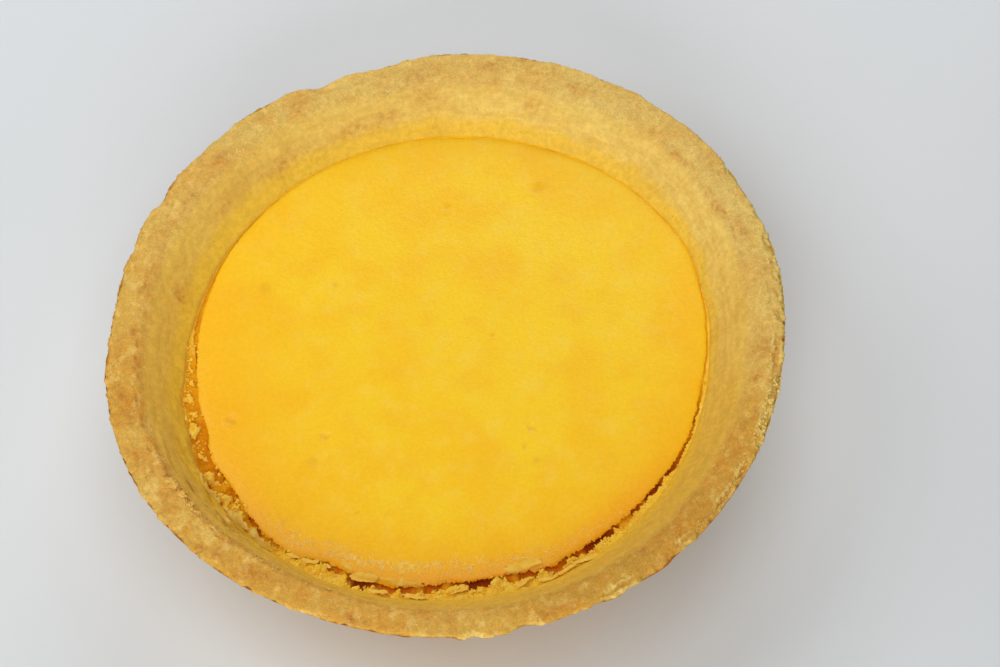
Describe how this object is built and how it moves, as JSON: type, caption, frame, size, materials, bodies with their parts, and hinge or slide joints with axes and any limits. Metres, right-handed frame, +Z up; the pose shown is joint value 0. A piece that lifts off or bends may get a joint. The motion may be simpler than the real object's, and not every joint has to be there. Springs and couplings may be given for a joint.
{
  "type": "cheese tart",
  "caption": "Small round baked cheese tart: a flared shortcrust shell with a flat, uneven rim and a set yellow cheese filling that stands below the rim.",
  "frame": {"origin": "centre of the bounding box at the underside, where the flat base rests", "axes": "+Z up through the middle of the tart, -Y towards the side the picture was taken from"},
  "size_m": [0.0849, 0.0849, 0.0203],
  "materials": {
    "pastry": "dry, sandy baked shortcrust, golden tan with darker brown patches",
    "cheese": "smooth set cheese filling with a soft satin skin, bright yellow, more orange towards its edge"
  },
  "bodies": {
    "root": {"crust": "pastry", "filling": "cheese"}
  },
  "joints": []
}
